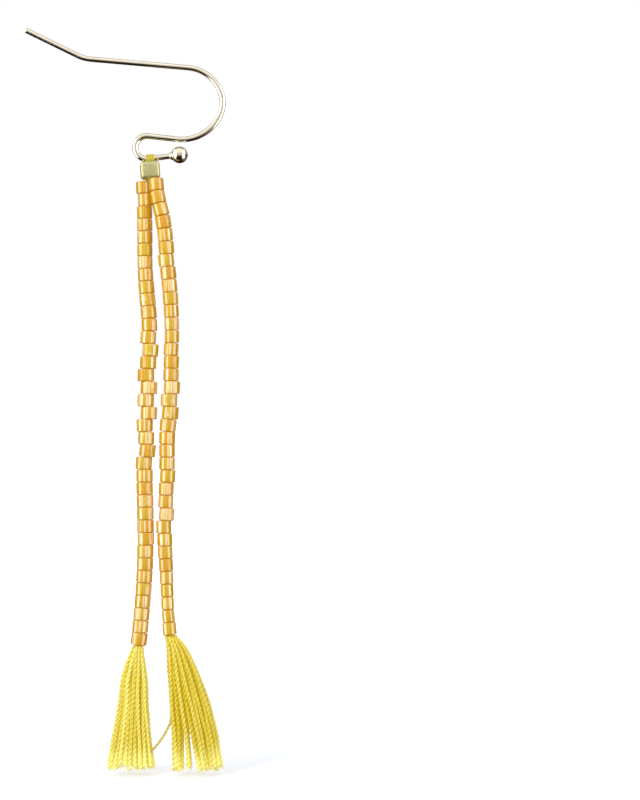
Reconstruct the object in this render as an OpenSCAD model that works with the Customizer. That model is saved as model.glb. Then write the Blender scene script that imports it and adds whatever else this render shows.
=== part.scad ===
/* [Ear wire] */
// Diameter of the wire
wire_d = 0.55; // [0.4:0.05:0.65]
// Length of the straight, flared tail that goes through the ear
tail_l = 5.95; // [4:0.05:9]
// Bend radius between the tail and the shank
tail_r = 4; // [1.5:0.1:5]
// Angle of the bend between the tail and the shank, in degrees
tail_a = 21; // [5:1:40]
// Length of the straight shank
shank_l = 10.1; // [7:0.1:14]
// Bend radius from the shank down to the crown
shoulder_r = 4; // [3.5:0.1:5.5]
// Bend radius at the crown, where the ear lobe hangs in the wire
crown_r = 3.1; // [2.5:0.1:4]
// Bend radius from the crown back to the throat
belly_r = 4.35; // [3.5:0.05:5.5]
// Length of the straight throat before the small loop
throat_l = 3; // [2:0.1:3.5]
// Centreline radius of the small loop that carries the thread
loop_r = 1.2; // [1.1:0.05:1.5]
// Length of wire from the small loop to the centre of the ball
foot_l = 3.25; // [2.8:0.05:4]
// Diameter of the ball on the wire's end
ball_d = 1.75; // [1.2:0.05:2]

/* [Square bead] */
// Width of the square bead, face to face
cube_w = 2; // [1.9:0.05:2.4]
// Height of the square bead
cube_h = 1.75; // [1.5:0.05:2.4]
// Radius of the square bead's rounded edges
cube_edge_r = 0.35; // [0.1:0.05:0.5]

/* [Glass beads] */
// Diameter of a glass bead
bead_d = 1.7; // [1.5:0.05:2.2]
// Length of a glass bead
bead_l = 1.14; // [0.9:0.02:1.6]
// Diameter of the hole in a glass bead
hole_d = 0.88; // [0.8:0.02:0.9]
// Bevel on the outer rims of a glass bead
bead_bevel = 0.1; // [0.04:0.02:0.14]
// Number of beads on the left string
left_beads = 37; // [20:1:37]
// Number of beads on the right string
right_beads = 36; // [20:1:36]
// Gap between two beads of the left string
left_slack = 0.16; // [0.15:0.005:0.25]
// Gap between two beads of the right string
right_slack = 0.175; // [0.15:0.005:0.25]

/* [Thread] */
// Diameter of the bundle of thread inside the beads
thread_d = 0.3; // [0.24:0.02:0.32]
// Width of the flattened bundle where it lies over the wire
wrap_w = 0.9; // [0.6:0.05:1]
// Thickness of the flattened bundle where it lies over the wire
wrap_t = 0.16; // [0.1:0.02:0.2]

/* [Tassels] */
// Length of the left tassel below its string
left_tassel_l = 12.7; // [9:0.1:18]
// Width of the left tassel at its cut ends
left_tassel_w = 5.2; // [4:0.1:7]
// Length of the right tassel below its string
right_tassel_l = 13.9; // [9:0.1:18]
// Width of the right tassel at its cut ends
right_tassel_w = 5.2; // [4:0.1:7]
// Depth of both tassels, front to back, at their cut ends
tassel_depth = 3; // [2:0.1:5]
// Diameter of a lock of threads as a share of the space it has
lock_share = 0.82; // [0.6:0.02:0.84]
// Diameter of the neck where the threads leave the last bead
neck_d = 1.2; // [1:0.05:1.4]

/* [Hidden] */
$fn = 48;

// Half of the crown's bend, above and below its middle, in degrees.
crown_half = 25;
// How much thicker than the wire the round joint between two bends is.
joint_extra = 0.01;

// The wire above and below the crown, walked away from it.
// Columns: straight length, bend radius, turn in degrees (positive is anticlockwise, seen from the front).
up_rows = [
    [0, shoulder_r, 60],
    [shank_l, tail_r, -tail_a],
    [tail_l, 0, 0]];
down_rows = [
    [0, belly_r, -71.5],
    [throat_l, loop_r, 194],
    [foot_l, 0, 0]];

// Places in the plane of the wire are [across, up], and a heading is an angle from +X towards +Z.
function heading(h) = [cos(h), sin(h)];
function bend_centre(at, h, r, turn) = at + sign(turn) * r * heading(h + 90);
function after_bend(at, h, r, turn) =
    turn == 0 ? at : bend_centre(at, h, r, turn) - sign(turn) * r * heading(h + turn + 90);

// The place and heading at the start of each row of a table, and at its end.
function walk(rows, at, h, i = 0) =
    i == len(rows) ? [[at, h]] :
    let (bent = at + rows[i][0] * heading(h))
    concat([[at, h]], walk(rows, after_bend(bent, h, rows[i][1], rows[i][2]), h + rows[i][2], i + 1));

crown_centre = [wire_d / 2 - crown_r, 0];
up_walk = walk(up_rows, crown_centre + crown_r * heading(crown_half), 90 + crown_half);
down_walk = walk(down_rows, crown_centre + crown_r * heading(-crown_half), -90 - crown_half);
foot_start = down_walk[len(down_rows) - 1];
foot_end = down_walk[len(down_rows)][0];

// Where the thread hangs on the wire: this far along the foot.
hang_along = 0.2;
hang = foot_start[0] + hang_along * heading(foot_start[1]);
// The square bead leans this many degrees in the plane of the wire, and is turned about its own axis.
bead_lean = 4;
bead_turn = 7;
// The square bead's bore is drilled this far to the right of its middle, and its mouths flare by this much.
bore_aside = 0.12;
bore_flare = 0.1;
// Clear space between the wire and the thread, the wire and the square bead, and thread and bore.
wrap_clear = 0.06;
cube_clear = 0.065;
bore_clear = 0.03;

// The thread's two legs stand this far in front of and behind the wire's centre.
leg_y = wire_d / 2 + wrap_clear + wrap_t / 2;
cube_bore_r = norm([wrap_w / 2, leg_y + wrap_t / 2]) + bore_clear;
cube_top = -wire_d / 2 - cube_clear;
cube_bottom = cube_top - cube_h;

// A point of the square bead's own frame, whose origin is the hanging point, in the part's frame.
function hung(p) = [
    hang[0] + p[0] * cos(bead_lean) - p[2] * sin(bead_lean),
    p[1],
    hang[1] + p[0] * sin(bead_lean) + p[2] * cos(bead_lean)];

// The routes of the two strings, chosen by hand. Sideways and depth are in bead diameters from the
// hanging point, and girth is the share of the full bead diameter.
// Columns: beads from the top, sideways, depth, girth.
left_route = [
    [0, -0.445, 0.34, 0.94],
    [3, -0.37, 0.33, 0.95],
    [7, -0.335, 0.225, 0.93],
    [9, -0.22, 0.17, 0.98],
    [11.5, -0.06, 0.095, 0.96],
    [14, -0.12, 0.04, 0.99],
    [17, -0.195, 0, 1.02],
    [20, -0.23, -0.04, 0.99],
    [23, -0.35, -0.055, 1.01],
    [26, -0.31, -0.055, 1.03],
    [28, -0.29, -0.04, 1.03],
    [31, -0.34, 0, 0.99],
    [34, -0.5, 0.04, 0.97],
    [37, -0.725, 0.055, 0.98]];
right_route = [
    [0, 0.345, -0.22, 0.93],
    [1, 0.42, -0.305, 0.93],
    [2, 0.57, -0.365, 0.92],
    [3, 0.76, -0.395, 0.93],
    [4, 0.88, -0.385, 0.95],
    [5, 0.965, -0.34, 0.94],
    [7, 1.07, -0.235, 0.96],
    [9, 1.21, -0.16, 0.95],
    [12, 1.32, -0.075, 0.89],
    [16, 1.25, 0, 0.97],
    [18, 1.2, 0.03, 1.01],
    [20, 1.03, 0.045, 1],
    [23, 1.01, 0.055, 0.95],
    [26, 0.92, 0.055, 0.91],
    [28, 0.86, 0.04, 0.93],
    [31, 0.97, 0, 0.84],
    [34, 1.07, -0.04, 0.77],
    [36, 1.2, -0.055, 0.85]];

// Beads that sit off the thread's line.
// Columns: bead from the top, sideways in bead diameters, lean in degrees.
left_juts = [
    [1, 0.1, 0],
    [12, -0.07, 1],
    [13, 0.1, 2],
    [15, -0.11, -2],
    [16, 0.1, 1],
    [17, -0.08, 0],
    [18, 0.12, 2],
    [19, -0.12, -1],
    [21, 0.12, 2.5],
    [22, -0.06, 1],
    [28, 0.03, -2],
    [36, 0, 3]];
right_juts = [
    [6, -0.06, -1],
    [13, -0.04, 2],
    [16, 0.07, 2],
    [17, -0.08, -1],
    [18, 0.06, -2],
    [23, 0.05, 1],
    [26, 0.09, 1],
    [27, -0.06, -2],
    [34, 0, -2]];

// How far below the middle of the square bead's lower face each string starts.
left_drop = 0.2;
right_drop = 0.02;
// Where the thread leaves the square bead's bore for the left string. The right string's is opposite.
thread_exit = [-0.4, 0.32];
// How far the thread has crossed over to the string's own line when it enters the first bead.
entry_share = 0.5;

// A smooth curve through one column of a table whose first column rises.
function span(rows, n) =
    let (below = [for (i = [0 : len(rows) - 2]) if (rows[i][0] <= n) i])
    len(below) == 0 ? 0 : below[len(below) - 1];
function slope(rows, i, column) =
    let (a = rows[max(i - 1, 0)], b = rows[min(i + 1, len(rows) - 1)])
    (b[column] - a[column]) / (b[0] - a[0]);
function smooth(rows, n, column) =
    let (i = span(rows, n), a = rows[i], b = rows[i + 1], w = b[0] - a[0])
    let (t = min(max((n - a[0]) / w, 0), 1))
    a[column] * (1 + 2 * t) * pow(1 - t, 2) + b[column] * t * t * (3 - 2 * t)
        + w * t * (1 - t) * (slope(rows, i, column) * (1 - t) - slope(rows, i + 1, column) * t);

// The joints between beads, from the top. Each is one bead and one gap from the last along the string.
function string_xy(route, n) = [hang[0], 0] + bead_d * [smooth(route, n, 1), smooth(route, n, 2)];
function fall(route, n, pitch) =
    sqrt(max(pow(pitch, 2) - pow(norm(string_xy(route, n + 1) - string_xy(route, n)), 2), 0));
function joints(route, count, pitch, top) = [
    for (n = 0, z = top; n <= count; z = z - fall(route, n, pitch), n = n + 1)
        concat(string_xy(route, n), z)];

string_top = hung([0, 0, cube_bottom])[2];
left_joints = joints(left_route, left_beads, bead_l + left_slack, string_top - left_drop);
right_joints = joints(right_route, right_beads, bead_l + right_slack, string_top - right_drop);

// The columns sideways and lean of a bead, or zeros if the bead isn't in the table.
function jut(juts, i) =
    let (found = [for (row = juts) if (row[0] == i) [row[1], row[2]]])
    len(found) == 0 ? [0, 0] : found[0];

module square_bead() {
    // One of the three rounded prisms that the square bead is the common part of.
    module prism(a, b, h) {
        flat = [a - 2 * cube_edge_r, b - 2 * cube_edge_r];
        translate([0, 0, -h / 2])
            linear_extrude(h)
                union() {
                    square([a, flat[1]], center = true);
                    square([flat[0], b], center = true);
                    for (x = [-1, 1], y = [-1, 1])
                        translate([x * flat[0] / 2, y * flat[1] / 2])
                            circle(r = cube_edge_r);
                }
    }
    middle = (cube_top + cube_bottom) / 2;
    color("darkkhaki")
    translate([hang[0], 0, hang[1]])
        rotate([0, -bead_lean, 0])
            translate([0, 0, middle])
                difference() {
                    translate([-bore_aside, 0, 0])
                        rotate([0, 0, bead_turn])
                            intersection() {
                                prism(cube_w, cube_w, cube_h);
                                rotate([90, 0, 0])
                                    prism(cube_w, cube_h, cube_w);
                                rotate([0, 90, 0])
                                    prism(cube_h, cube_w, cube_w);
                            }
                    rotate_extrude()
                        polygon([
                            [0, -cube_h],
                            [cube_bore_r + bore_flare + cube_h / 2, -cube_h],
                            [cube_bore_r, bore_flare - cube_h / 2],
                            [cube_bore_r, cube_h / 2 - bore_flare],
                            [cube_bore_r + bore_flare + cube_h / 2, cube_h],
                            [0, cube_h]]);
                }
}

// A glass bead about the origin, with its hole along Z.
module glass_bead(d) {
    rotate_extrude()
        polygon([
            [hole_d / 2, -bead_l / 2],
            [d / 2 - bead_bevel, -bead_l / 2],
            [d / 2, -bead_l / 2 + bead_bevel],
            [d / 2, bead_l / 2 - bead_bevel],
            [d / 2 - bead_bevel, bead_l / 2],
            [hole_d / 2, bead_l / 2]]);
}

module bead_string(route, joint, juts) {
    for (i = [0 : len(joint) - 2]) {
        off = jut(juts, i);
        middle = (joint[i] + joint[i + 1]) / 2 + [off[0] * bead_d, 0, 0];
        up = joint[i] - joint[i + 1];
        translate(middle)
            rotate([0, off[1], 0])
                rotate([0, acos(up[2] / norm(up)), atan2(up[1], up[0])])
                    glass_bead(bead_d * smooth(route, i + 0.5, 3));
    }
}

module bead_string_left() {
    color("orange")
    bead_string(left_route, left_joints, left_juts);
}

module bead_string_right() {
    color("goldenrod")
    bead_string(right_route, right_joints, right_juts);
}

// A tube along a path of rings, as one closed solid.
// Columns of a ring: centre, half width across, half thickness.
sides = 8;
function unit(v) = v / norm(v);
function ring_points(rings, i) =
    let (
        ahead = rings[min(i + 1, len(rings) - 1)][0],
        behind = rings[max(i - 1, 0)][0],
        along = unit(ahead - behind),
        across = unit([1, 0, 0] - along[0] * along),
        out = cross(along, across))
    [for (k = [0 : sides - 1])
        rings[i][0] + rings[i][1] * cos(360 * k / sides) * across
            + rings[i][2] * sin(360 * k / sides) * out];
module tube(rings) {
    last = len(rings) - 1;
    points = [for (i = [0 : last]) each ring_points(rings, i)];
    walls = [for (i = [0 : last - 1], k = [0 : sides - 1])
        let (a = i * sides, next = (k + 1) % sides)
        [a + k, a + sides + k, a + sides + next, a + next]];
    caps = [[for (k = [0 : sides - 1]) k], [for (k = [sides - 1 : -1 : 0]) last * sides + k]];
    polyhedron(points, concat(walls, caps));
}

// Half the thread's diameter, of an octagon as large as the round bundle.
thread_half = thread_d / 2;
// The neck of the tassel starts this far below the last joint, and the thread stops this far above the neck.
neck_drop = 0.1;
neck_clear = 0.04;

// The thread in one string, from the top. It enters the first bead slantwise.
function string_thread(joint, exit) =
    let (
        top = hung([exit[0], exit[1], cube_bottom]),
        entry = top + entry_share * (joint[0] - top),
        last = len(joint) - 1)
    concat(
        [[top, thread_half, thread_half], [[entry[0], entry[1], joint[0][2]], thread_half, thread_half]],
        [for (n = [1 : last - 1]) [joint[n], thread_half, thread_half]],
        [[joint[last] + [0, 0, neck_clear - neck_drop], thread_half, thread_half]]);
function backwards(list) = [for (i = [len(list) - 1 : -1 : 0]) list[i]];

// The rings of the thread's turn over the wire are this many degrees apart.
wrap_step = 22.5;
// Inside the bore each leg gathers into the round bundle. This share of the bead's height down, it is
// still this much wider and thinner than the bundle.
leg_down = 0.3;
leg_wide = 2;
leg_thin = 0.6;

module thread() {
    // The flattened bundle over the wire, from behind it to the front.
    wrap = [for (a = [0 : wrap_step : 180])
        [hung([0, leg_y * cos(a), leg_y * sin(a)]), wrap_w / 2, wrap_t / 2]];
    function leg(side) = [
        [hung([0, side * leg_y, cube_top]), wrap_w / 2, wrap_t / 2],
        [hung([0, side * leg_y, cube_top - leg_down * cube_h]),
            thread_half * leg_wide, thread_half * leg_thin]];
    color("yellow")
    tube(concat(
        backwards(string_thread(left_joints, thread_exit)),
        backwards(leg(1)),
        wrap,
        leg(-1),
        string_thread(right_joints, -thread_exit)));
}

// The outlines of the tassels. The edges are in tassel widths from the neck, and depth is in tassel depths.
// Columns: share of the length, left edge, right edge, half depth.
left_outline = [
    [0, -neck_d / 2 / left_tassel_w, neck_d / 2 / left_tassel_w, neck_d / 2 / tassel_depth],
    [0.075, -0.21, 0.12, 0.26],
    [0.2, -0.295, 0.175, 0.34],
    [0.34, -0.385, 0.195, 0.38],
    [0.53, -0.42, 0.215, 0.42],
    [0.78, -0.53, 0.27, 0.46],
    [1, -0.64, 0.335, 0.5]];
right_outline = [
    [0, -neck_d / 2 / right_tassel_w, neck_d / 2 / right_tassel_w, neck_d / 2 / tassel_depth],
    [0.05, -0.1, 0.28, 0.25],
    [0.1, -0.08, 0.37, 0.3],
    [0.21, -0.06, 0.485, 0.36],
    [0.36, -0.03, 0.69, 0.4],
    [0.57, -0.01, 0.845, 0.44],
    [0.8, 0.045, 0.985, 0.48],
    [1, 0.055, 1.06, 0.5]];

// Where the locks end, as shares of the way from the left to the right edge, for locks numbered from the
// left. The right tassel has a slit and a wide gap. Columns: lock, share.
left_ends = [[0, 0], [9, 1]];
right_ends = [[0, 0], [2, 0.185], [2.5, 0.3], [3, 0.345], [3.5, 0.5], [9, 1]];
last_lock = 9;
// Rows of locks, front to back. Columns: depth as a share of the half depth, first lock, last lock.
lock_rows = [[-1, 0.5, 8.5], [0, 0, 9], [1, 0.5, 8.5]];
// Places down the tassel at which a lock has a ring, as shares of the length, and those of the head.
lock_steps = [0.03, 0.14, 0.3, 0.52, 0.76, 1];
head_steps = [0, 0.06, 0.11];
// The head's width and depth as a share of the tassel's there.
head_share = 0.94;
// The locks are gathered to a share of the width at the neck, and spread fully at a share of the length.
gather_share = 0.7;
gather_until = 0.14;
// How elliptic the tassel is from above: 0 is a rectangle and 1 an ellipse.
round_share = 0.8;
// Sides of a lock and of the head, and the height of one ring of either.
lock_sides = 8;
head_sides = 16;
ring_h = 0.02;
// The shortest lock is this share shorter than the longest.
end_unevenness = 0.05;

module tassel(at, length, width, outline, ends, seed) {
    // The tassel's left and right edges at share t of the length, and the thickness of its locks there.
    function edges(t) = width * [smooth(outline, t, 1), smooth(outline, t, 2)];
    function half_depth(t) = tassel_depth * smooth(outline, t, 3);
    function thick(t) = lock_share * (edges(t)[1] - edges(t)[0]) / (last_lock + 1);
    // The centre of a lock numbered n in a row, at share t of the length.
    function lock_at(n, row, t) =
        let (
            even = n / last_lock,
            share = even + (lookup(n, ends) - even) * t * t - 0.5,
            middle = (edges(t)[0] + edges(t)[1]) / 2,
            gather = gather_share + (1 - gather_share) * min(t / gather_until, 1),
            depth = (half_depth(t) - thick(t) / 2) * sqrt(1 - round_share * pow(2 * even - 1, 2)))
        [middle + gather * share * (edges(t)[1] - edges(t)[0] - thick(t)), gather * row * depth, -t * length];
    // One ring of the solid head.
    module head_ring(t) {
        translate([(edges(t)[0] + edges(t)[1]) / 2, 0, -t * length - ring_h])
            scale([head_share * (edges(t)[1] - edges(t)[0]) / 2, head_share * half_depth(t), 1])
                cylinder(r = 1, h = ring_h, $fn = head_sides);
    }
    uneven = rands(0, 1, len(lock_rows) * (last_lock + 1), seed);
    translate(at - [0, 0, neck_drop])
        union() {
            for (k = [1 : len(head_steps) - 1])
                hull() {
                    head_ring(head_steps[k - 1]);
                    head_ring(head_steps[k]);
                }
            for (row = [0 : len(lock_rows) - 1], n = [lock_rows[row][1] : lock_rows[row][2]]) {
                own = uneven[row * (last_lock + 1) + floor(n)];
                for (k = [1 : len(lock_steps) - 1])
                    hull()
                        for (t = (1 - end_unevenness * own) * [lock_steps[k - 1], lock_steps[k]])
                            translate(lock_at(n, lock_rows[row][0], t))
                                rotate([0, 0, 360 * own])
                                    cylinder(d = thick(t), h = ring_h, center = true, $fn = lock_sides);
            }
        }
}

module tassel_left() {
    color("gold")
    tassel(left_joints[left_beads], left_tassel_l, left_tassel_w, left_outline, left_ends, 3);
}

module tassel_right() {
    color("khaki")
    tassel(right_joints[right_beads], right_tassel_l, right_tassel_w, right_outline, right_ends, 8);
}

// A round joint in the wire.
module wire_joint(at, d = wire_d + joint_extra) {
    translate([at[0], 0, at[1]])
        sphere(d = d);
}

module wire_straight(at, h, l) {
    translate([at[0], 0, at[1]])
        rotate([0, 90 - h, 0])
            cylinder(d = wire_d, h = l);
}

// A bend about a centre, anticlockwise from the angle start.
module wire_bend(centre, r, start, turn) {
    translate([centre[0], 0, centre[1]])
        rotate([90, 0, 0])
            rotate([0, 0, start])
                rotate_extrude(angle = turn)
                    translate([r, 0])
                        circle(d = wire_d);
}

module wire_run(rows, steps) {
    for (i = [0 : len(rows) - 1]) {
        at = steps[i][0];
        h = steps[i][1];
        l = rows[i][0];
        r = rows[i][1];
        turn = rows[i][2];
        bent = at + l * heading(h);
        wire_joint(at);
        if (l > 0)
            wire_straight(at, h, l);
        if (l > 0 && turn != 0)
            wire_joint(bent);
        if (turn != 0)
            wire_bend(bend_centre(bent, h, r, turn), r, turn > 0 ? h - 90 : h + 90 + turn, abs(turn));
    }
}

module ear_hook() {
    color("wheat")
    union() {
        wire_bend(crown_centre, crown_r, -crown_half, 2 * crown_half);
        wire_run(up_rows, up_walk);
        wire_run(down_rows, down_walk);
        wire_joint(foot_end, ball_d);
    }
}

ear_hook();
square_bead();
thread();
bead_string_left();
bead_string_right();
tassel_left();
tassel_right();
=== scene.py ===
"""The left one of a pair of tassel earrings: ear wire, square bead, two strings of glass beads and
tassels."""

import math

import bpy
import numpy as np
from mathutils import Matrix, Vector


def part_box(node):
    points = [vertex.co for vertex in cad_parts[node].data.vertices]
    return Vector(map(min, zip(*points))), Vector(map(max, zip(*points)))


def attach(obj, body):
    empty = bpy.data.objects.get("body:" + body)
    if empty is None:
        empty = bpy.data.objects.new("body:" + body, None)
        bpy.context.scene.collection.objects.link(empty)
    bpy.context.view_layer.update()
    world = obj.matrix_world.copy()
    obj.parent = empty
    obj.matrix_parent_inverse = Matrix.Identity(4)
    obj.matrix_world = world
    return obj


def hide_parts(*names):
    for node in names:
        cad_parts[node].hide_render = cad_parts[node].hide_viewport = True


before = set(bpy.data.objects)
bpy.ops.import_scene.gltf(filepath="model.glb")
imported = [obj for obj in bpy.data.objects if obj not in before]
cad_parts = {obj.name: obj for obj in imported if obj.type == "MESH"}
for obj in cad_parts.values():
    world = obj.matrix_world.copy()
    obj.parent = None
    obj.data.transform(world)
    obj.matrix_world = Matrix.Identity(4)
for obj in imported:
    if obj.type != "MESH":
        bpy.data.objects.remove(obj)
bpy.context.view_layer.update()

# Lengths in this script are in millimetres until a mesh is made of them.
MM = 0.001
rng = np.random.default_rng(11)

# The photo's frame: how much of the wire's plane one pixel covers, and where the ear wire's seat is in it.
PIXEL = 0.1035
PHOTO_W, PHOTO_H = 640, 800
SEAT_X, SEAT_Y = 220.05, 102.6

# The ear wire.
WIRE_D = 0.55
CROWN_R = 3.1
CROWN_HALF = 25
BALL_D = 1.75
HANG_ALONG = 0.2
# Columns: straight length, bend radius, turn in degrees, anticlockwise seen from the front.
UP_ROWS = [[0, 4.0, 60], [10.1, 4.0, -21], [5.95, 0, 0]]
DOWN_ROWS = [[0, 4.35, -71.5], [3.0, 1.2, 194], [3.25, 0, 0]]
# The bends were hammered a little wider in their plane. Columns: length from the tail's tip, width share.
WIDENED = np.array([[0, 1], [17.5, 1], [20.5, 1.02], [22, 1.13], [25.5, 1.15], [27.5, 1.08], [29.5, 1.02],
                    [31.5, 1.06], [33.5, 1.13], [36.5, 1.13], [38, 1.03], [40, 1]])

# The square bead, in its own frame whose origin is the place on the wire where the thread hangs.
CUBE_W = 2.0
CUBE_H = 1.75
CUBE_EDGE_R = 0.35
CUBE_TOP = -0.34
CUBE_LEAN = 4
CUBE_TURN = 7
BORE_ASIDE = 0.12
BORE_R = 0.7
BORE_FLARE = 0.1


# Numbers

def unit(v):
    """Every vector of an array divided by its length."""
    return v / np.linalg.norm(v, axis=-1, keepdims=True)


def smoothstep(low, high, x):
    """0 below low, 1 above high, and 3t^2 - 2t^3 between them."""
    t = np.clip((x - low) / (high - low), 0, 1)
    return t * t * (3 - 2 * t)


def spline(points, count):
    """count points evenly spaced along a smooth curve through the given ones: cubic pieces whose slope at a
    point is the line between its two neighbours."""
    p = np.asarray(points, float)
    slope = np.gradient(p, axis=0)
    n = len(p) - 1
    u = np.linspace(0, n, 40 * n + 1)
    i = np.minimum(u.astype(int), n - 1)
    t = (u - i)[:, None]
    fine = (p[i] * (1 + 2 * t) * (1 - t) ** 2 + p[i + 1] * t * t * (3 - 2 * t)
            + slope[i] * t * (1 - t) ** 2 - slope[i + 1] * t * t * (1 - t))
    run = np.concatenate([[0], np.cumsum(np.linalg.norm(np.diff(fine, axis=0), axis=1))])
    even = np.linspace(0, run[-1], count)
    return np.stack([np.interp(even, run, fine[:, k]) for k in range(p.shape[1])], axis=1)


# Meshes

def ring_quads(rings, sides, closed=False):
    """Faces between rings of points: ring by ring, each joined to the next, and the last to the first if
    closed."""
    i = np.arange(rings if closed else rings - 1)[:, None]
    k = np.arange(sides)[None, :]
    a, b = i * sides, (i + 1) % rings * sides
    n = (k + 1) % sides
    return np.stack([a + k, a + n, b + n, b + k], axis=-1).reshape(-1, 4)


def make(name, points, quads, triangles, slot, stands_for=(), attributes=()):
    """One object of whole arrays: points in millimetres, faces of four and of three corners, and
    attributes of one number or one vector a point."""
    mesh = bpy.data.meshes.new(name)
    points = np.asarray(points, float).reshape(-1, 3) * MM
    quads = np.asarray(quads, int).reshape(-1, 4)
    triangles = np.asarray(triangles, int).reshape(-1, 3)
    corners = np.concatenate([quads.ravel(), triangles.ravel()])
    starts = np.concatenate([4 * np.arange(len(quads)), 4 * len(quads) + 3 * np.arange(len(triangles))])
    mesh.vertices.add(len(points))
    mesh.vertices.foreach_set("co", points.ravel())
    mesh.loops.add(len(corners))
    mesh.loops.foreach_set("vertex_index", corners.astype(np.int32))
    mesh.polygons.add(len(starts))
    mesh.polygons.foreach_set("loop_start", starts.astype(np.int32))
    mesh.polygons.foreach_set("use_smooth", np.full(len(starts), True))
    mesh.update(calc_edges=True)
    for key, values in attributes:
        values = np.asarray(values, np.float32)
        wide = values.ndim > 1
        layer = mesh.attributes.new(key, "FLOAT_VECTOR" if wide else "FLOAT", "POINT")
        layer.data.foreach_set("vector" if wide else "value", values.ravel())
    mesh.validate()
    thing = bpy.data.objects.new(name, mesh)
    bpy.context.scene.collection.objects.link(thing)
    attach(thing, "root")
    if stands_for:
        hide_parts(*stands_for)
    return thing


def tubes(paths, radii, sides, side_hint, widen=1.0):
    """Tubes along many paths of equally many points. The ring at a point lies across the path there,
    turned so that its first corner is nearest to the hint, and is widened square to the hint. Both ends
    are closed by a fan about their middle. Returns points, quads, triangles, the angle round the tube and
    the point's number along it."""
    paths = np.asarray(paths, float)
    count, steps = paths.shape[:2]
    radii = np.broadcast_to(np.asarray(radii, float), (count, steps))
    along = unit(np.gradient(paths, axis=1))
    hint = np.broadcast_to(np.asarray(side_hint, float), along.shape)
    across = unit(hint - (hint * along).sum(-1, keepdims=True) * along)
    out = np.cross(along, across) * np.broadcast_to(widen, (count, steps))[..., None]
    angle = 2 * np.pi * np.arange(sides) / sides
    ring = (np.cos(angle)[:, None] * across[:, :, None, :] + np.sin(angle)[:, None] * out[:, :, None, :])
    rings = paths[:, :, None, :] + radii[:, :, None, None] * ring
    each = steps * sides + 2
    body = rings.reshape(count, steps * sides, 3)
    points = np.concatenate([body, paths[:, :1], paths[:, -1:]], axis=1).reshape(-1, 3)
    base = each * np.arange(count)
    quads = (ring_quads(steps, sides)[None] + base[:, None, None]).reshape(-1, 4)
    k = np.arange(sides)
    n = (k + 1) % sides
    last = (steps - 1) * sides
    first_fan = np.stack([n, k, np.full(sides, steps * sides)], axis=1)
    last_fan = np.stack([last + k, last + n, np.full(sides, steps * sides + 1)], axis=1)
    fans = np.concatenate([first_fan, last_fan])
    triangles = (fans[None] + base[:, None, None]).reshape(-1, 3)
    turn = np.concatenate([np.tile(angle, steps), [0, 0]])
    step = np.concatenate([np.repeat(np.arange(steps), sides), [0, steps - 1]])
    return points, quads, triangles, np.tile(turn, count), np.tile(step, count)


def join(parts):
    """Several (points, quads, triangles) as one."""
    offsets = np.cumsum([0] + [len(p[0]) for p in parts[:-1]])
    return (np.concatenate([p[0] for p in parts]),
            np.concatenate([p[1] + o for p, o in zip(parts, offsets)]),
            np.concatenate([p[2] + o for p, o in zip(parts, offsets)]))


# Materials

def put(tree, socket, value):
    """Sets a node's input to a constant, or links it to a worked-out value."""
    if isinstance(value, Value):
        tree.links.new(value.socket, socket)
    else:
        socket.default_value = value


class Value:
    """A number, vector or colour in a material's node tree. Arithmetic with it adds the nodes."""

    def __init__(self, tree, socket):
        self.tree = tree
        self.socket = socket

    def node(self, kind, settings=(), inputs=(), out=0):
        """Any other node: its settings are put first, then its inputs."""
        made = self.tree.nodes.new(kind)
        for name, value in dict(settings).items():
            setattr(made, name, value)
        for name, value in dict(inputs).items():
            put(self.tree, made.inputs[name], value)
        return Value(self.tree, made.outputs[out])

    def maths(self, operation, *others):
        return self.node("ShaderNodeMath", {"operation": operation}, dict(enumerate([self, *others])))

    def __add__(self, other):
        return self.maths("ADD", other)

    __radd__ = __add__

    def __sub__(self, other):
        return self.maths("SUBTRACT", other)

    def __mul__(self, other):
        return self.maths("MULTIPLY", other)

    __rmul__ = __mul__

    def __neg__(self):
        return self * -1

    def step(self, low, high, start=0.0, end=1.0):
        """A smooth step from start at low to end at high."""
        inputs = {0: self, 1: low, 2: high, 3: start, 4: end}
        return self.node("ShaderNodeMapRange", {"interpolation_type": "SMOOTHSTEP"}, inputs)

    def mix(self, a, b):
        """Colour a where this is 0 and b where it is 1."""
        settings = {"data_type": "RGBA", "clamp_factor": True}
        return self.node("ShaderNodeMix", settings, {0: self, 6: a, 7: b}, out=2)

    def part(self, axis):
        """One coordinate of a vector, or channel of a colour."""
        return self.node("ShaderNodeSeparateXYZ", (), {0: self}, out="XYZ".index(axis))

    def noise(self, scale, detail=2.0, roughness=0.5):
        settings = {"noise_dimensions": "3D"}
        inputs = {"Vector": self, "Scale": scale, "Detail": detail, "Roughness": roughness}
        return self.node("ShaderNodeTexNoise", settings, inputs)

    def bump(self, strength, distance):
        inputs = {"Height": self, "Strength": strength, "Distance": distance}
        return self.node("ShaderNodeBump", (), inputs)


def rgb(r, g, b):
    """A colour given as in a picture, 0 to 255, as the renderer's linear one."""
    c = np.array([r, g, b]) / 255
    c = np.where(c <= 0.04045, c / 12.92, ((c + 0.055) / 1.055) ** 2.4)
    return (*(float(x) for x in c), 1.0)


def material(name, recipe, **constants):
    """A material whose surface has constants on its own sockets, and what the recipe works out for the
    rest."""
    made = bpy.data.materials.new(name)
    made.use_nodes = True
    tree = made.node_tree
    surface = tree.nodes["Principled BSDF"]
    for key, value in constants.items():
        surface.inputs[key.replace("_", " ")].default_value = value
    start = Value(tree, None)
    for key, value in recipe(start).items():
        put(tree, surface.inputs[key], value)
    return made


def place_of(start):
    """Object coordinates in millimetres."""
    at = start.node("ShaderNodeTexCoord", out="Object")
    return at.node("ShaderNodeVectorMath", {"operation": "SCALE"}, {"Vector": at, "Scale": 1 / MM})


def attribute(start, name, out="Fac"):
    return start.node("ShaderNodeAttribute", {"attribute_name": name}, out=out)


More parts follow.
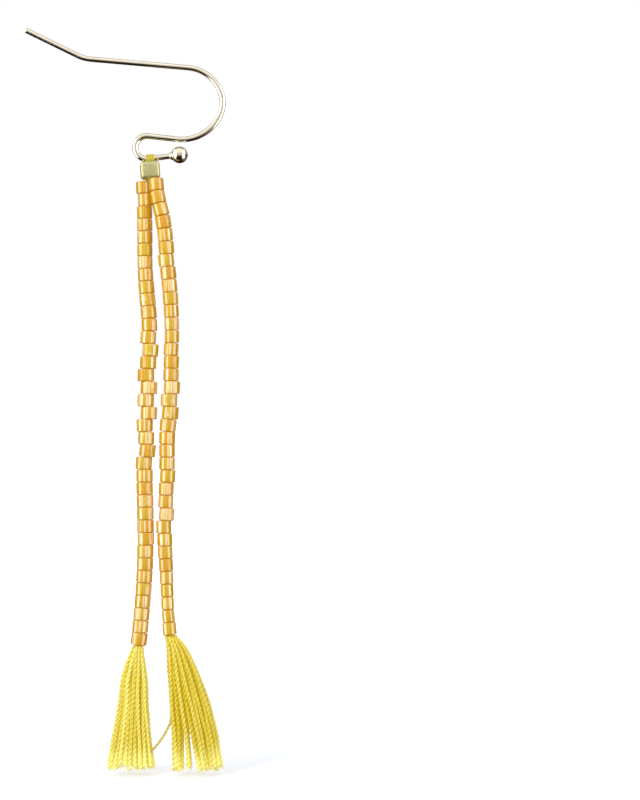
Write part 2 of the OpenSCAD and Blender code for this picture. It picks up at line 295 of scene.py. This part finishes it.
def polished_gold(start):
    """Pale champagne plating with a faint uneven tone and the finest drawing marks."""
    at = place_of(start)
    cloud = at.noise(0.6)
    grain = at.noise(5.0, 2.0)
    return {
        "Base Color": cloud.step(0.3, 0.7).mix(rgb(228, 219, 200), rgb(236, 229, 212)),
        "Roughness": 0.12 + 0.08 * grain,
        "Normal": grain.bump(0.04, 0.00001),
    }


def satin_square(start):
    """Duller, yellower plating, brushed and lightly worn."""
    at = place_of(start)
    cloud = at.noise(1.3)
    grain = at.noise(9.0, 4.0, 0.7)
    return {
        "Base Color": (0.6 * cloud + 0.4 * grain).step(0.35, 0.65).mix(rgb(174, 170, 118), rgb(190, 186, 136)),
        "Roughness": 0.36 + 0.16 * grain,
        "Normal": grain.bump(0.12, 0.00002),
    }


def golden_glass(start):
    """Golden glass whose facets run from orange to yellow, a tone that differs at random. Some facets are
    painted pink-cream as highlight streaks, standing in for reflections of the lights. Painted shade darkens
    it to amber towards its silhouette, along the facets' edges and in the joints between beads, and a faint
    amber painted glow, stronger in that shade, stands in for light passing through the glass."""
    tint = attribute(start, "tint", "Vector")
    at = place_of(start)
    # The tint holds the bead's tone, a random number for the facet that varies its tone and picks its painted
    # highlight streaks, and how much painted shade the corner gets.
    tone, facet_tone_and_streak, depth = tint.part("X"), tint.part("Y"), tint.part("Z")
    cloud = at.noise(2.2, 2.0)
    facing = start.node("ShaderNodeLayerWeight", (), {"Blend": 0.5}, out="Facing")
    body = (0.4 * tone + 0.8 * facet_tone_and_streak).step(0.1, 0.9).mix(rgb(202, 144, 2), rgb(194, 170, 10))
    # Pink-cream painted highlight streaks on the facets whose random number is high, standing in for
    # reflections of the lights.
    painted_streaks = (facet_tone_and_streak + 0.3 * (cloud - 0.5)).step(0.66, 0.76)
    shown = (painted_streaks * 0.9).mix(body, rgb(236, 208, 152))
    # Painted shade: darker amber towards the silhouette, where the glass is seen at a slant.
    edge = facing.step(0.3, 0.75)
    # Painted shade: the strongest of the silhouette darkening, the joints between beads and the strips between
    # facets.
    painted_shade = (edge * 0.8).maths("MAXIMUM", depth)
    return {
        "Base Color": painted_shade.mix(shown, rgb(176, 118, 0)),
        "Roughness": 0.3 + 0.15 * cloud,
        # A painted amber glow, stronger in the painted shade, stands in for light passing through the glass.
        "Emission Color": painted_shade.mix(rgb(124, 90, 4), rgb(200, 136, 10)),
    }


def yellow_thread(start):
    """Twisted glossy yellow thread: fine fibres along each ply, each thread in its own tone, paler where it
    frays. A tone below 0 is a duller thread. A faint golden glow is painted on, standing in for light that has
    gone through the thread and fills its shadows with gold."""
    tone = attribute(start, "tone")
    fray = attribute(start, "fray")
    fibre = attribute(start, "fibre", "Vector").noise(3.0, 3.0, 0.6)
    bright = tone.mix(rgb(180, 162, 8), rgb(214, 210, 118))
    body = tone.step(-0.5, -0.1).mix(rgb(160, 156, 66), bright)
    hair = (fibre - 0.5) * 0.3 + fray
    return {
        "Base Color": hair.step(0.1, 1.1).mix(body, rgb(240, 236, 150)),
        # A painted golden glow, paler where the thread frays, stands in for light that passes through the
        # thread.
        "Emission Color": fray.mix(rgb(214, 180, 12), rgb(220, 208, 90)),
        "Roughness": 0.22 + 0.2 * fibre,
        "Normal": fibre.bump(0.2, 0.00002),
    }


GOLD = material("polished_champagne_gold", polished_gold, Metallic=1.0)
SQUARE = material("satin_square_metal", satin_square, Metallic=0.5)
# The glass and the thread glow faintly: a painted glow standing in for light that passes through them.
GLASS = material("golden_glass_painted_streaks", golden_glass, Coat_Weight=1.0, Coat_Roughness=0.05, Coat_IOR=1.7,
                 Specular_IOR_Level=0.15, Emission_Strength=0.3)
THREAD = material("yellow_twisted_thread", yellow_thread, Sheen_Weight=0.1, Sheen_Roughness=0.4,
                  Specular_IOR_Level=0.6, Emission_Strength=0.31)


# The ear wire

def heading(h):
    h = np.radians(h)
    return np.stack([np.cos(h), np.sin(h)], axis=-1)


def walk(rows, at, h):
    """The wire's middle line in its plane: straights and arcs one after another. Returns its points, and
    the place and heading at the start of each row."""
    line, starts = [np.array([at])], []
    for length, r, turn in rows:
        starts.append((at, h))
        if length:
            line.append(at + np.linspace(0, length, 40)[1:, None] * heading(h))
            at = at + length * heading(h)
        if turn:
            side = np.sign(turn) * r
            centre = at + side * heading(h + 90)
            turns = np.linspace(0, turn, int(abs(turn) / 3) + 1)[1:, None]
            line.append(centre - side * heading(h + turns[:, 0] + 90))
            at, h = line[-1][-1], h + turn
    return np.concatenate(line), starts, at, h


def in_space(flat):
    return np.stack([flat[:, 0], np.zeros(len(flat)), flat[:, 1]], axis=1)


crown = np.array([WIRE_D / 2 - CROWN_R, 0.0])
up_line, up_starts, tip, tip_heading = walk(UP_ROWS, crown + CROWN_R * heading(CROWN_HALF), 90 + CROWN_HALF)
down_line, down_starts, foot_end, foot_heading = walk(
    DOWN_ROWS, crown + CROWN_R * heading(-CROWN_HALF), -90 - CROWN_HALF)
foot, foot_at = down_starts[-1]
hang = foot + HANG_ALONG * heading(foot_at)


def ear_wire():
    """A round wire along its middle line from the tail's cut end to the ball. Its edge at the cut is
    broken by a small chamfer, its bends are widened by a table of its length, and it swells into the
    solder just before the ball, as a bell curve of the distance to it."""
    turns = np.linspace(CROWN_HALF, -CROWN_HALF, 18)[1:-1]
    middle = crown + CROWN_R * heading(turns)
    flat = np.concatenate([up_line[::-1], middle, down_line])
    run = np.concatenate([[0], np.cumsum(np.linalg.norm(np.diff(flat, axis=0), axis=1))])
    chamfer, solder, reach = 0.04, 0.16, 0.1
    extra = run[-1] - BALL_D / 2 - np.linspace(0.5, -0.1, 14)
    stops = np.unique(np.round(np.concatenate([[0, chamfer], run[run > 3 * chamfer], extra]), 4))
    line = np.stack([np.interp(stops, run, flat[:, k]) for k in (0, 1)], axis=1)
    to_ball = np.maximum(run[-1] - BALL_D / 2 - stops, 0)
    radius = WIRE_D / 2 + solder * np.exp(-(to_ball / reach) ** 2)
    radius[0] -= chamfer
    widen = np.interp(stops, WIDENED[:, 0], WIDENED[:, 1])
    points, quads, triangles, _, _ = tubes(in_space(line)[None], radius[None], 40, [0, 1, 0], widen[None])
    ball = ball_at(np.array([foot_end[0], 0, foot_end[1]]), BALL_D / 2)
    thing = make("ear_wire", *join([(points, quads, triangles), ball]), "gold_wire", ["ear_hook"])
    thing.data.materials.append(GOLD)
    return thing


def ball_at(centre, r, rings=36, sides=72):
    """A sphere: r times (sin v cos u, sin v sin u, cos v) about its centre, with one point at each pole."""
    v = np.linspace(0, np.pi, rings + 2)[1:-1, None]
    u = 2 * np.pi * np.arange(sides)[None] / sides
    skin = r * np.stack([np.sin(v) * np.cos(u), np.sin(v) * np.sin(u), np.cos(v) + 0 * u], axis=-1)
    points = np.concatenate([skin.reshape(-1, 3), [[0, 0, r], [0, 0, -r]]]) + centre
    quads = ring_quads(rings, sides)[:, ::-1]
    k = np.arange(sides)
    n = (k + 1) % sides
    top = np.stack([k, n, np.full(sides, rings * sides)], axis=1)
    low = (rings - 1) * sides
    bottom = np.stack([low + n, low + k, np.full(sides, rings * sides + 1)], axis=1)
    return points, quads, np.concatenate([top, bottom])


# The square bead

def hung(points):
    """Places in the square bead's own frame, leant over and moved to where the thread hangs."""
    p = np.asarray(points, float)
    a = np.radians(CUBE_LEAN)
    x = p[..., 0] * np.cos(a) - p[..., 2] * np.sin(a)
    z = p[..., 0] * np.sin(a) + p[..., 2] * np.cos(a)
    return np.stack([hang[0] + x, p[..., 1], hang[1] + z], axis=-1)


def rounded_square(half, r, per_corner=9, per_side=5):
    """Points round a square of that half width whose corners are arcs of radius r, and straight between
    them."""
    corner = np.radians(np.linspace(0, 90, per_corner))
    arc = (half - r) + r * np.stack([np.cos(corner), np.sin(corner)], axis=1)
    between = np.linspace(half - r, r - half, per_side + 2)[1:-1]
    side = np.stack([between, np.full(per_side, half)], axis=1)
    quarter = np.concatenate([arc, side])
    turns = [quarter]
    for _ in range(3):
        quarter = np.stack([-quarter[:, 1], quarter[:, 0]], axis=1)
        turns.append(quarter)
    return np.concatenate(turns)


def square_bead():
    """Rings about the bore, from the bore's lower mouth out over the lower face, up the walls, in over
    the upper face and back down the bore. An edge is a quarter circle: the ring moves in by r(1 - cos b)
    and up by r sin b."""
    b = np.radians(np.linspace(0, 90, 8))
    r, half_h = CUBE_EDGE_R, CUBE_H / 2
    inset = r * (1 - np.cos(b))
    rise = half_h - r + r * np.sin(b)
    corner = np.maximum(r - inset, 0.05)
    outer = [(rounded_square(CUBE_W / 2 - i, c), z) for i, c, z in zip(inset, corner, rise)]
    turn = np.radians(CUBE_TURN)
    spin = np.array([[np.cos(turn), np.sin(turn)], [-np.sin(turn), np.cos(turn)]])
    outer = [(ring @ spin - [BORE_ASIDE, 0], z) for ring, z in outer]
    rim = outer[-1][0]
    way = unit(rim)
    mouths = [(BORE_R + BORE_FLARE + 0.04, half_h), (BORE_R + BORE_FLARE, half_h - 0.02),
              (BORE_R, half_h - BORE_FLARE - 0.03), (BORE_R, half_h / 2)]
    mouths = [(way * radius, z) for radius, z in mouths]
    upper = outer + mouths
    lower = [(ring, -z) for ring, z in upper]
    rings = [*lower[::-1], *upper]
    points = np.concatenate([np.column_stack([ring, np.full(len(ring), z)]) for ring, z in rings])
    points[:, 2] += CUBE_TOP - half_h
    quads = ring_quads(len(rings), len(rim), closed=True)
    thing = make("square_bead_smooth", hung(points), quads, [], "square_metal", ["square_bead"])
    thing.data.materials.append(SQUARE)
    return thing


# The glass beads

def loose_parts(node):
    """The middle, axis, diameter and length of each loose bead of a CAD node, in millimetres, from the
    top down. The axis is the direction in which the faces turn least: the least eigenvector of the sum of
    area n n'."""
    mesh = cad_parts[node].data
    mesh.calc_loop_triangles()
    at = np.empty(3 * len(mesh.vertices))
    mesh.vertices.foreach_get("co", at)
    corners = np.empty(3 * len(mesh.loop_triangles), np.int32)
    mesh.loop_triangles.foreach_get("vertices", corners)
    at = at.reshape(-1, 3) / MM
    merged, where = np.unique(np.round(at, 4), axis=0, return_inverse=True)
    tri = where.reshape(-1)[corners].reshape(-1, 3)
    label = np.arange(len(merged))
    while True:
        low = label[tri].min(axis=1)
        new = label.copy()
        for k in range(3):
            np.minimum.at(new, tri[:, k], low)
        if (new == label).all():
            break
        label = new
    a, b, c = (merged[tri[:, k]] for k in range(3))
    normal = np.cross(b - a, c - a)
    area = np.linalg.norm(normal, axis=1)
    beads = []
    for one in np.unique(label):
        mine = label[tri[:, 0]] == one
        spread = (normal[mine].T / area[mine]) @ normal[mine]
        axis = np.linalg.eigh(spread)[1][:, 0]
        axis = axis if axis[2] > 0 else -axis
        points = merged[label == one]
        middle = points.mean(axis=0)
        height = (points - middle) @ axis
        across = np.linalg.norm(points - middle - height[:, None] * axis, axis=1)
        middle = middle + axis * (height.max() + height.min()) / 2
        beads.append([*middle, *axis, 2 * across.max(), np.ptp(height)])
    beads = np.array(beads)
    return beads[np.argsort(-beads[:, 2])]


FACETS = 20


def bead_string(node, name):
    """Beads of a faceted cylinder, drilled. Round the bead there are two corners for each facet edge, a
    little uneven. Along it runs a closed profile: bore, end face, quarter-round rim, wall, rim, end face.
    The point is radius times the corner's own share outwards, and the profile's height along the axis."""
    beads = loose_parts(node)
    count = len(beads)
    middle, axis, thick = beads[:, :3], beads[:, 3:6], beads[:, 6, None, None]
    steps = np.linalg.norm(np.diff(middle, axis=0), axis=1)
    half = (np.median(steps) - 0.01) / 2 * rng.uniform(0.985, 1.0, count)
    rim, bore, lip = 0.13, 0.44, 0.05
    arc = np.radians(np.linspace(-90, 0, 5))
    inset = rim * (1 - np.cos(arc))
    height = np.concatenate([[lip, 0], rim * (1 + np.sin(arc))])
    # How far into the joint between beads each profile row lies, which sets its painted shade.
    depth = np.array([1.0, 0.95, 0.9, 0.7, 0.45, 0.2, 0.0])
    depth = np.concatenate([depth, depth[::-1]])
    columns = 2 * FACETS
    edge = 2 * np.pi * np.arange(FACETS) / FACETS + rng.uniform(-0.05, 0.05, (count, FACETS))
    edge = edge + rng.uniform(0, 2 * np.pi, (count, 1))
    bevel = 0.042
    angle = np.stack([edge - bevel, edge + bevel], axis=2).reshape(count, columns)
    size = 1 - 0.012 * rng.random((count, FACETS))
    size = np.repeat(size, 2, axis=1)
    wall = thick / 2 * size[:, None, :] - inset[None, :, None]
    drilled = np.broadcast_to(np.array([bore, bore + lip])[None, :, None], (count, 2, columns))
    lower = np.concatenate([drilled, wall], axis=1)
    radius = np.concatenate([lower, lower[:, ::-1]], axis=1)
    low = height[None] - half[:, None]
    z = np.concatenate([low, -low[:, ::-1]], axis=1)
    side = unit(np.cross([0, 1, 0], axis))
    front = np.cross(axis, side)
    ring = np.cos(angle)[:, :, None] * side[:, None] + np.sin(angle)[:, :, None] * front[:, None]
    points = (middle[:, None, None] + z[:, :, None, None] * axis[:, None, None]
              + radius[..., None] * ring[:, None])
    rows = len(depth)
    quads = ring_quads(rows, columns, closed=True)
    every = (quads[None] + rows * columns * np.arange(count)[:, None, None]).reshape(-1, 4)
    thing = make(name, points, every, [], "glass", [node])
    tint_beads(thing, count, rows, columns, depth)
    thing.data.materials.append(GLASS)
    return thing


def tint_beads(thing, count, rows, columns, depth):
    """Colours by facet: a tone for the bead, a random number for the facet that varies its tone and picks its
    painted highlight streaks, and how much painted shade the corner gets, far into the joint or on the strip
    between two facets. The edges that run along the bead are sharp."""
    mesh = thing.data
    corners = np.empty(len(mesh.loops), np.int32)
    mesh.loops.foreach_get("vertex_index", corners)
    face = np.repeat(np.arange(len(corners) // 4), 4)
    bead = corners // (rows * columns)
    facet = (face % columns + 1) // 2 % FACETS
    row = corners // columns % rows
    tone = rng.random(count)
    # A random number for each facet: it varies the facet's tone and, when high, gives the facet a painted
    # highlight streak.
    facet_tone_and_streak = rng.random((count, FACETS))
    tint = np.ones((len(corners), 4), np.float32)
    tint[:, 0] = tone[bead]
    tint[:, 1] = facet_tone_and_streak[bead, facet]
    # The narrow strips between facets get painted shade too, as do the rows far into the joints.
    between = face % columns % 2 == 0
    tint[:, 2] = np.maximum(depth[row], 0.75 * between)
    mesh.color_attributes.new("tint", "FLOAT_COLOR", "CORNER").data.foreach_set("color", tint.ravel())
    ends = np.empty(2 * len(mesh.edges), np.int32)
    mesh.edges.foreach_get("vertices", ends)
    ends = ends.reshape(-1, 2)
    sharp = ends[:, 0] % columns == ends[:, 1] % columns
    mesh.attributes.new("sharp_edge", "BOOLEAN", "EDGE").data.foreach_set("value", sharp)


# Twisted thread

def plied(paths, thick, pitch, side_hint, tone, spread=None, fray=None, sides=6):
    """Threads of two plies. Each ply is a tube that winds round the thread's middle line: its offset is
    about a fifth of the thread's thickness times (cos a, sin a) across the line, where a grows by one
    turn in each pitch of the length. The plies sink into each other a little. spread widens the winding
    and slims the plies where the thread frays."""
    paths = np.asarray(paths, float)
    count, steps = paths.shape[:2]
    thick = np.broadcast_to(np.asarray(thick, float), (count, steps))
    spread = np.ones((count, steps)) if spread is None else spread
    fray = np.zeros((count, steps)) if fray is None else fray
    run = np.cumsum(np.linalg.norm(np.diff(paths, axis=1, prepend=paths[:, :1]), axis=2), axis=1)
    along = unit(np.gradient(paths, axis=1))
    hint = np.broadcast_to(np.asarray(side_hint, float), along.shape)
    across = unit(hint - (hint * along).sum(-1, keepdims=True) * along)
    out = np.cross(along, across)
    start = rng.uniform(0, 2 * np.pi, (count, 1))
    parts = []
    for ply in (0, np.pi):
        a = 2 * np.pi * run / pitch + start + ply
        offset = thick / 4 * 0.78 * spread
        line = paths + offset[..., None] * (np.cos(a)[..., None] * across + np.sin(a)[..., None] * out)
        radius = thick / 4 * 1.22 / np.sqrt(spread)
        points, quads, triangles, turn, step = tubes(line, radius, sides, side_hint)
        thread = np.repeat(np.arange(count), steps * sides + 2)
        far = run[thread, step]
        lay = turn - 2 * far / thick.mean()
        fibre = np.stack([np.cos(lay), np.sin(lay), 0.5 * far + 7.3 * thread + ply], axis=1)
        parts.append((points, quads, triangles, tone[thread], fray[thread, step], fibre))
    whole = join(parts)
    extra = [np.concatenate([p[k] for p in parts]) for k in (3, 4, 5)]
    return (*whole, *extra)


def thread_object(name, parts, stands_for=()):
    """Several results of plied() as one object."""
    points, quads, triangles = join(parts)
    tone, fray, fibre = (np.concatenate([p[k] for p in parts]) for k in (3, 4, 5))
    layers = [("tone", tone), ("fray", fray), ("fibre", fibre)]
    thing = make(name, points, quads, triangles, "yellow_thread", stands_for, attributes=layers)
    thing.data.materials.append(THREAD)
    return thing


def hanging_thread():
    """Five threads side by side over the wire. They gather in the square bead's bore, and then run on
    through the middles of the beads of each string to its tassel."""
    strands, thick = 5, 0.185
    gap = WIRE_D / 2 + 0.015 + thick / 2
    lines = []
    for side, node, exit_x, exit_y in ((1, "left", -0.4, 0.32), (-1, "right", 0.4, -0.32)):
        beads = loose_parts("bead_string_" + node)
        top = hung([exit_x, exit_y, CUBE_TOP - CUBE_H])
        first = beads[0, :3] + beads[0, 3:6] * 0.5
        end = beads[-1, :3] - beads[-1, 3:6] * 0.9
        lines.append(np.vstack([top, first, beads[:, :3], end]))
    parts = []
    for k in range(strands):
        aside = (k - (strands - 1) / 2) * thick * 0.98
        bundle = 0.1 * np.array([np.cos(1.257 * k), np.sin(1.257 * k), 0])
        turn = np.radians(np.linspace(0, 180, 9))
        lift = 0.05 - 0.0125 * (k - 2) ** 2
        wrap = np.stack([np.full(9, aside), (gap + lift) * np.cos(turn), (gap + lift) * np.sin(turn)], axis=1)
        back = [[aside, gap, CUBE_TOP], [0.5 * aside, 0.7 * gap, CUBE_TOP - 0.3 * CUBE_H]]
        fore = [[aside, -gap, CUBE_TOP], [0.5 * aside, -0.7 * gap, CUBE_TOP - 0.3 * CUBE_H]]
        over = hung(np.vstack([back[::-1], wrap, fore]))
        whole = np.vstack([(lines[0] + bundle)[::-1], over, lines[1] + bundle])
        tone = np.array([-0.38 + 0.04 * k])
        parts.append(plied(spline(whole, 900)[None], thick, 0.55, [1, 0.02, 0], tone))
    return thread_object("hanging_thread", parts, ["thread"])


# The tassels

def outline(node, shares):
    """Left, right, front and back of a CAD node at shares of the way down, where planes cut its faces."""
    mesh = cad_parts[node].data
    mesh.calc_loop_triangles()
    at = np.empty(3 * len(mesh.vertices))
    mesh.vertices.foreach_get("co", at)
    corners = np.empty(3 * len(mesh.loop_triangles), np.int32)
    mesh.loop_triangles.foreach_get("vertices", corners)
    tri = at.reshape(-1, 3)[corners.reshape(-1, 3)] / MM
    top, bottom = tri[..., 2].max(), tri[..., 2].min()
    sides = []
    for share in shares:
        level = top + (bottom - top) * share
        a, b = tri, np.roll(tri, 1, axis=1)
        cut = (a[..., 2] - level) * (b[..., 2] - level) < 0
        p, q = a[cut], b[cut]
        where = p + (q - p) * ((level - p[:, 2]) / (q[:, 2] - p[:, 2]))[:, None]
        sides.append([where[:, 0].min(), where[:, 0].max(), where[:, 1].min(), where[:, 1].max()])
    return np.array(sides), top, bottom


LOCKS = 9
# Rows of threads, front to back. Columns: depth as a share of the half depth, first and last thread.
THREAD_ROWS = [[-1, 0.5, 8.5], [-0.4, 0, 9], [0.4, 0, 9], [1, 0.5, 8.5]]
# Where the threads end, as shares of the way across. The right tassel has a slit and a wide gap.
LEFT_ENDS = [[0, 9], [0, 1]]
RIGHT_ENDS = [[0, 2, 2.5, 3, 3.5, 9], [0, 0.15, 0.305, 0.325, 0.55, 1]]
THREAD_THICK = 0.44
THREAD_PITCH = 1.04
# The outline is read down to this share of the length. Below it the width grows on at the same rate.
LAST_CUT = 0.94


def wander(count, steps, size):
    """A slow sideways wave for each thread: three sines of random phase, weaker towards the neck."""
    t = np.linspace(0, 1, steps)
    total = np.zeros((count, steps))
    for waves in (0.7, 1.6, 3.1):
        phase = rng.uniform(0, 2 * np.pi, (count, 1))
        total += np.sin(2 * np.pi * waves * t + phase) / waves
    return size * total * np.minimum(t * 4, 1)


def tassel(node, name, ends, tones, strays=()):
    """Two-ply threads that fan from the neck. Thread n of a row goes from its even share of the width at
    the neck to its place among the ends, and its depth follows the half depth times an ellipse across the
    width."""
    cuts = np.concatenate([[0.012], np.linspace(0.04, LAST_CUT, 16)])
    sides, top, bottom = outline(node, cuts)
    numbers, rows = [], []
    for depth, first, last in THREAD_ROWS:
        own = np.arange(first, last + 0.5)
        numbers.append(own)
        rows.append(np.full(len(own), float(depth)))
    number, row = np.concatenate(numbers), np.concatenate(rows)
    count = len(number)
    length = top - bottom
    steps = int(length / THREAD_PITCH * 11)
    share = np.linspace(0, 1, steps)
    left, right, fore, aft = (np.interp(share, cuts, sides[:, k]) for k in range(4))
    before = np.array([np.interp(LAST_CUT - 0.1, cuts, sides[:, k]) for k in range(2)])
    widening = (sides[-1, :2] - before) / 0.1
    beyond = np.maximum(share - LAST_CUT, 0)
    left, right = left + widening[0] * beyond, right + widening[1] * beyond
    even = number / LOCKS
    target = np.interp(number, *ends)
    drift = rng.normal(0, 0.012, count)
    t = share[None]
    across = even[:, None] + (target - even)[:, None] * t ** 2 + drift[:, None] * np.sin(np.pi * t)
    thick = THREAD_THICK * (0.75 + 0.25 * smoothstep(0, 0.15, t)) * rng.uniform(0.9, 1.06, (count, 1))
    inner = thick / 2
    x = left + inner + across * (right - left - 2 * inner)
    bow = np.sqrt(np.clip(1 - 0.8 * (2 * across - 1) ** 2, 0.05, 1))
    half = (aft - fore) / 2 - inner
    behind = 0.32 * (np.arange(count) % 2)[:, None] * (1 - smoothstep(0.15, 0.8, t))
    y = row[:, None] * np.maximum(half * bow - behind, 0)
    x = x + wander(count, steps, 0.035)
    y = y + wander(count, steps, 0.06)
    end = 1 - 0.045 * rng.random(count)
    z = top - length * t * end[:, None]
    paths = np.stack([x, y, z], axis=-1)
    fray = smoothstep(0.72, 1.0, t) * rng.uniform(0.5, 1.0, (count, 1))
    loose = 1 + 0.5 * smoothstep(0.9, 1.0, t) * rng.uniform(0.2, 1.4, (count, 1))
    tone = rng.uniform(*tones, count)
    parts = [plied(paths, thick, THREAD_PITCH, [0, 1, 0], tone, loose, fray)]
    parts.append(end_fibres(paths))
    parts.extend(strays)
    return thread_object(name, parts, [node])


def end_fibres(paths, each=9):
    """Loose fibres at the cut ends: short curved hairs that fan from the last stretch of each thread."""
    count, steps = paths.shape[:2]
    total = count * each
    start = np.repeat(paths[:, -6], each, axis=0)
    way = np.repeat(unit(paths[:, -1] - paths[:, -8]), each, axis=0)
    lean = rng.normal(0, 0.22, (total, 3)) * [1, 1, 0]
    curl = rng.normal(0, 0.22, (total, 3)) * [1, 1, 0]
    span = rng.uniform(0.55, 1.0, (total, 1, 1))
    s = np.linspace(0, 1, 9)[None, :, None]
    spot = rng.normal(0, 0.06, (total, 1, 3))
    lines = start[:, None] + spot + span * s * (way + lean)[:, None] + 0.5 * span * s ** 2 * curl[:, None]
    lowest = paths[..., 2].min() - 0.05
    lines[..., 2] = np.maximum(lines[..., 2], lowest)
    points, quads, triangles, turn, step = tubes(lines, 0.02 * (1 - 0.6 * np.linspace(0, 1, 9)), 4, [0, 1, 0])
    number = np.repeat(np.arange(total), 9 * 4 + 2)
    tone = np.repeat(rng.random(total), 9 * 4 + 2)
    fray = np.full(len(points), 0.8)
    fibre = np.stack([np.cos(turn), np.sin(turn), number * 1.7], axis=1)
    return points, quads, triangles, tone, fray, fibre


def stray_thread():
    """The single ply that strays from the right tassel's edge across to the left tassel."""
    middle = [[-5.02, -0.2, -60.5], [-5.04, -0.25, -62.4], [-5.08, -0.3, -63.9], [-5.38, -0.35, -64.65],
              [-5.74, -0.4, -65.35], [-6.22, -0.45, -66.05], [-6.88, -0.5, -66.85], [-7.3, -0.5, -67.3]]
    return plied(spline(middle, 130)[None], 0.3, 0.8, [0, 1, 0], np.array([-0.6]))


ear_wire()
square_bead()
bead_string("bead_string_left", "glass_beads_left")
bead_string("bead_string_right", "glass_beads_right")
hanging_thread()
tassel("tassel_left", "fringe_left", LEFT_ENDS, (0.15, 1.0))
tassel("tassel_right", "fringe_right", RIGHT_ENDS, (-0.15, 0.5), [stray_thread()])


# Floor, light and camera

def white_paper(start):
    """White paper that glows, more so away from the earring, so that only the soft shadow below it
    shows."""
    at = place_of(start)
    away = at.node("ShaderNodeVectorMath", {"operation": "LENGTH"}, {"Vector": at}, out="Value")
    grain = at.noise(1.5)
    return {
        "Base Color": grain.mix((0.335, 0.34, 0.35, 1), (0.345, 0.35, 0.36, 1)),
        "Roughness": 0.85 + 0.1 * grain,
        "Emission Color": away.step(80, 200).mix((0.56, 0.57, 0.59, 1), (0.9, 0.9, 0.9, 1)),
    }


def floor():
    """A pale floor just below the longest thread, lit almost to white."""
    low = min(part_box("tassel_left")[0][2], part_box("tassel_right")[0][2]) / MM - 0.5
    half = 3000.0
    corners = [[-half, -half, low], [half, -half, low], [half, half, low], [-half, half, low]]
    mesh = bpy.data.meshes.new("floor")
    mesh.from_pydata([[c * MM for c in p] for p in corners], [], [[0, 1, 2, 3]])
    thing = bpy.data.objects.new("floor", mesh)
    bpy.context.scene.collection.objects.link(thing)
    thing.visible_glossy = False
    thing.visible_diffuse = False
    mesh.materials.append(material("white_paper", white_paper, Emission_Strength=1.0))
    return thing


def studio():
    """White for the camera. Reflections see, in front, a bright ceiling, two tall soft panels left and
    right of the camera and a dim room between them, and below a dark ground, warm on the far left and
    paler on the right. Behind is a dark wall with a lit middle. All else is lit by a soft white."""
    world = bpy.data.worlds.new("studio")
    world.use_nodes = True
    tree = world.node_tree
    start = Value(tree, None)
    way = start.node("ShaderNodeTexCoord", out="Generated")
    x, y, z = way.part("X"), way.part("Y"), way.part("Z")
    seen_by_camera = start.node("ShaderNodeLightPath", out="Is Camera Ray")
    reflected = start.node("ShaderNodeLightPath", out="Is Glossy Ray")
    front = y.step(-0.3, 0.05, 1.0, 0.0)
    ceiling = z.step(0.28, 0.5) * y.step(-0.1, 0.35, 1.0, 0.0)
    ground = z.step(-0.4, -0.05)
    tall = z.step(-0.75, -0.55) * z.step(0.5, 0.8, 1.0, 0.0)
    left_panel = (-x).step(0.68, 0.76) * (-x).step(0.96, 0.995, 1.0, 0.0) * front * tall
    right_panel = x.step(0.68, 0.76) * x.step(0.96, 0.995, 1.0, 0.0) * front * tall
    behind = z.step(0.0, 0.35).mix((0.06, 0.05, 0.04, 1), (0.42, 0.4, 0.37, 1))
    lit = x.maths("ABSOLUTE").step(0.4, 0.6, 1.0, 0.0) * z.step(-0.3, -0.1) * z.step(0.3, 0.45, 1.0, 0.0)
    rear = lit.mix(behind, (0.95, 0.92, 0.86, 1))
    back = front.mix(rear, (0.72, 0.69, 0.64, 1))
    warm = (x * -0.95 + y * -0.3 + z * -0.05).step(0.76, 0.88)
    dark = x.step(0.3, 0.6).mix((0.02, 0.015, 0.01, 1), (0.2, 0.17, 0.13, 1))
    low = warm.mix(dark, (0.8, 0.62, 0.5, 1))
    room = ground.mix(low, back)
    high = ceiling.mix(room, (1.25, 1.24, 1.2, 1))
    with_left = left_panel.mix(high, (6.5, 6.3, 6.0, 1))
    mirrored = right_panel.mix(with_left, (5.5, 5.3, 5.0, 1))
    soft = z.step(-0.7, 0.7).mix((0.62, 0.6, 0.56, 1), (0.9, 0.9, 0.92, 1))
    light = reflected.mix(soft, mirrored)
    put(tree, tree.nodes["Background"].inputs["Color"], seen_by_camera.mix(light, (1, 1, 1, 1)))
    bpy.context.scene.world = world


LIT_MIDDLE = (-6, 0, -28)


def lamp(name, at, size, power):
    """A square soft light that faces the middle of the earring."""
    data = bpy.data.lights.new(name, "AREA")
    data.size = size * MM
    data.energy = power
    thing = bpy.data.objects.new(name, data)
    thing.location = Vector(at) * MM
    thing.rotation_mode = "QUATERNION"
    thing.rotation_quaternion = (Vector(at) - Vector(LIT_MIDDLE)).to_track_quat("Z", "Y")
    bpy.context.scene.collection.objects.link(thing)
    thing.visible_glossy = False
    thing.visible_camera = False
    return thing


def camera():
    """A long lens level with the middle of the photo's frame, looking along +Y."""
    data = bpy.data.cameras.new("camera")
    data.lens = 90
    data.sensor_width = 36
    reach = PHOTO_H * PIXEL / (data.sensor_width / data.lens)
    thing = bpy.data.objects.new("camera", data)
    across = (PHOTO_W / 2 - SEAT_X) * PIXEL
    up = -(PHOTO_H / 2 - SEAT_Y) * PIXEL
    thing.location = (across * MM, -reach * MM, up * MM)
    thing.rotation_euler = (math.radians(90), 0, 0)
    bpy.context.scene.collection.objects.link(thing)
    bpy.context.scene.camera = thing


floor()
studio()
lamp("key", (-150, -170, 90), 90, 0.45)
lamp("fill", (190, -150, -10), 130, 0.08)
lamp("top", (-10, 60, 190), 120, 0.1)
camera()
bpy.context.scene.view_settings.view_transform = "Standard"
